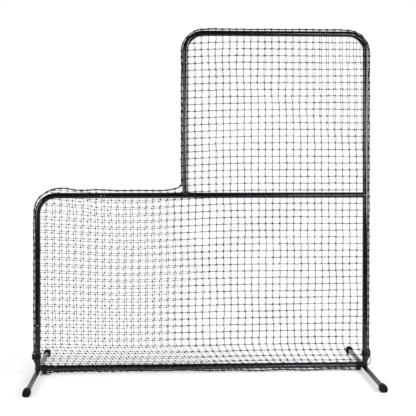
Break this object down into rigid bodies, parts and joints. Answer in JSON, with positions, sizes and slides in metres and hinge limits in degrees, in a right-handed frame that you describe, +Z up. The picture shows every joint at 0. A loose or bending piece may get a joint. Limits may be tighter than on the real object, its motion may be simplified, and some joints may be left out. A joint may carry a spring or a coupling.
{
  "type": "baseball l screen",
  "caption": "Free-standing L-shaped steel tube frame under a pillow-case net, with a notch to throw through and rubber-footed base legs.",
  "frame": {"origin": "on the floor, midway between the outer uprights and midway between the front and rear feet", "axes": "+Z up, +X to the right along the screen with the notch on the -X side, -Y towards the viewer of the picture"},
  "size_m": [2.1388, 1.04, 2.1819],
  "materials": {
    "painted_steel": "black gloss powder coat",
    "zinc": "bright zinc plate",
    "spring_steel": "bare spring steel",
    "rubber": "matt black rubber",
    "nylon": "black nylon twine"
  },
  "bodies": {
    "screen": {"top_hoop": "painted_steel", "shoulder_elbow": "painted_steel", "crossbar": "painted_steel", "mid_upright": "painted_steel", "right_upright": "painted_steel", "lower_left_upright": "painted_steel", "lower_right_upright": "painted_steel", "bottom_rail_left": "painted_steel", "bottom_rail_right": "painted_steel", "left_base_post": "painted_steel", "right_base_post": "painted_steel", "left_rail_stub": "painted_steel", "right_rail_stub": "painted_steel", "left_base_leg": "painted_steel", "right_base_leg": "painted_steel", "front_left_foot": "rubber", "front_right_foot": "rubber", "rear_left_foot": "rubber", "rear_right_foot": "rubber", "net_front_upper": "nylon", "net_front_lower": "nylon", "net_back_upper": "nylon", "net_back_lower": "nylon", "border_rope": "nylon", "lacing": "nylon", "hoop_left_spring": "spring_steel", "hoop_right_spring": "spring_steel", "shoulder_spring": "spring_steel", "left_upright_spring": "spring_steel", "right_upright_spring": "spring_steel", "left_post_spring": "spring_steel", "right_post_spring": "spring_steel", "left_rail_spring": "spring_steel", "right_rail_spring": "spring_steel", "rail_middle_spring": "spring_steel"},
    "hoop_left_snap": {"hoop_left_button": "zinc"},
    "hoop_right_snap": {"hoop_right_button": "zinc"},
    "shoulder_snap": {"shoulder_button": "zinc"},
    "left_upright_snap": {"left_upright_button": "zinc"},
    "right_upright_snap": {"right_upright_button": "zinc"},
    "left_post_snap": {"left_post_button": "zinc"},
    "right_post_snap": {"right_post_button": "zinc"},
    "left_rail_snap": {"left_rail_button": "zinc"},
    "right_rail_snap": {"right_rail_button": "zinc"},
    "rail_middle_snap": {"rail_middle_button": "zinc"}
  },
  "joints": [
    {"name": "hoop_left_press", "type": "hinge", "parent": "screen", "child": "hoop_left_snap", "pos_m": [-0.10028, 0, 1.783], "axis": [0, 1, 0], "range_deg": [0, 5.8], "stiffness_Nm_per_rad": 1.5, "springref_deg": -4.58},
    {"name": "hoop_right_press", "type": "hinge", "parent": "screen", "child": "hoop_right_snap", "pos_m": [1.02528, 0, 1.783], "axis": [0, -1, 0], "range_deg": [0, 5.8], "stiffness_Nm_per_rad": 1.5, "springref_deg": -4.58},
    {"name": "shoulder_press", "type": "hinge", "parent": "screen", "child": "shoulder_snap", "pos_m": [-0.6855, -0.01222, 1.126], "axis": [0, 0, 1], "range_deg": [0, 5.8], "stiffness_Nm_per_rad": 1.5, "springref_deg": -4.58},
    {"name": "left_upright_press", "type": "hinge", "parent": "screen", "child": "left_upright_snap", "pos_m": [-1.0375, 0.01222, 0.784], "axis": [-1, 0, 0], "range_deg": [0, 5.8], "stiffness_Nm_per_rad": 1.5, "springref_deg": -4.58},
    {"name": "right_upright_press", "type": "hinge", "parent": "screen", "child": "right_upright_snap", "pos_m": [1.0375, 0.01222, 0.784], "axis": [-1, 0, 0], "range_deg": [0, 5.8], "stiffness_Nm_per_rad": 1.5, "springref_deg": -4.58},
    {"name": "left_post_press", "type": "hinge", "parent": "screen", "child": "left_post_snap", "pos_m": [-1.0375, -0.01222, 0.357], "axis": [1, 0, 0], "range_deg": [0, 5.8], "stiffness_Nm_per_rad": 1.5, "springref_deg": -4.58},
    {"name": "right_post_press", "type": "hinge", "parent": "screen", "child": "right_post_snap", "pos_m": [1.0375, 0.01222, 0.357], "axis": [-1, 0, 0], "range_deg": [0, 5.8], "stiffness_Nm_per_rad": 1.5, "springref_deg": -4.58},
    {"name": "left_rail_press", "type": "hinge", "parent": "screen", "child": "left_rail_snap", "pos_m": [-0.8645, 0.01222, 0.042], "axis": [0, 0, 1], "range_deg": [0, 5.8], "stiffness_Nm_per_rad": 1.5, "springref_deg": -4.58},
    {"name": "right_rail_press", "type": "hinge", "parent": "screen", "child": "right_rail_snap", "pos_m": [0.8645, 0.01222, 0.042], "axis": [0, 0, -1], "range_deg": [0, 5.8], "stiffness_Nm_per_rad": 1.5, "springref_deg": -4.58},
    {"name": "rail_middle_press", "type": "hinge", "parent": "screen", "child": "rail_middle_snap", "pos_m": [0.063, 0.01222, 0.042], "axis": [0, 0, 1], "range_deg": [0, 5.8], "stiffness_Nm_per_rad": 1.5, "springref_deg": -4.58}
  ]
}
